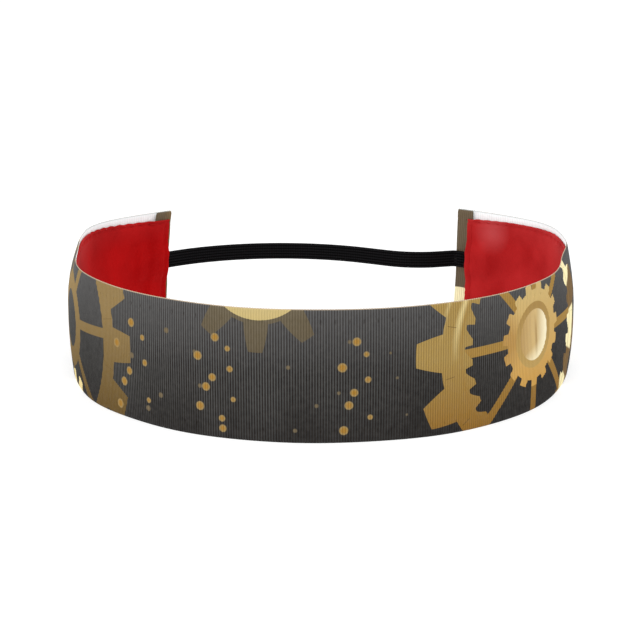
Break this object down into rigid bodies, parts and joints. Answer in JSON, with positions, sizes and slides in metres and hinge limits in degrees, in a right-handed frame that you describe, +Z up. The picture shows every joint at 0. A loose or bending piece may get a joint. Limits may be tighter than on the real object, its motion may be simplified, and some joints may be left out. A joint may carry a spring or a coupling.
{
  "type": "headband",
  "caption": "Wide printed grosgrain ribbon headband, open at the back, with a velvet lining and a flat braided elastic joining its two ends.",
  "frame": {"origin": "under the middle of the bounding box, on the plane of the band's bottom edge", "axes": "+Z up across the ribbon's width, the front of the band faces -Y, +X to the right seen from the front, and the elastic is at +Y"},
  "size_m": [0.16, 0.1576, 0.0381],
  "materials": {
    "printed_grosgrain": null,
    "red_velvet": "short velvet pile",
    "black_braid": "flat braid",
    "rubber_core": "matte",
    "red_thread": "spun polyester thread"
  },
  "bodies": {
    "front": {"ribbon_front": "printed_grosgrain", "lining_front": "red_velvet", "seam_top_front": "red_thread", "seam_bottom_front": "red_thread"},
    "left_arm": {"ribbon_left": "printed_grosgrain", "lining_left": "red_velvet", "seam_top_left": "red_thread", "seam_bottom_left": "red_thread", "end_seam_left": "red_thread", "elastic_tail_left": "black_braid"},
    "right_arm": {"ribbon_right": "printed_grosgrain", "lining_right": "red_velvet", "seam_top_right": "red_thread", "seam_bottom_right": "red_thread", "end_seam_right": "red_thread", "elastic_tail_right": "black_braid"},
    "elastic": {"elastic_span": "black_braid", "elastic_cores": "rubber_core"}
  },
  "joints": [
    {"name": "left_arm_flex", "type": "hinge", "parent": "front", "child": "left_arm", "pos_m": [-0.07877, -0.00108, 0.01905], "axis": [0, 0, 1], "range_deg": [-5, 15], "stiffness_Nm_per_rad": 0.05, "deforming": ["elastic_span", "elastic_cores"]},
    {"name": "right_arm_flex", "type": "hinge", "parent": "front", "child": "right_arm", "pos_m": [0.07877, -0.00108, 0.01905], "axis": [0, 0, -1], "range_deg": [-5, 15], "stiffness_Nm_per_rad": 0.05, "deforming": ["elastic_span", "elastic_cores"]},
    {"name": "elastic_pull", "type": "slide", "parent": "front", "child": "elastic", "axis": [0, 1, 0], "range_m": [0, 0.03], "stiffness_N_per_m": 20, "deforming": ["elastic_span", "elastic_cores"]}
  ]
}
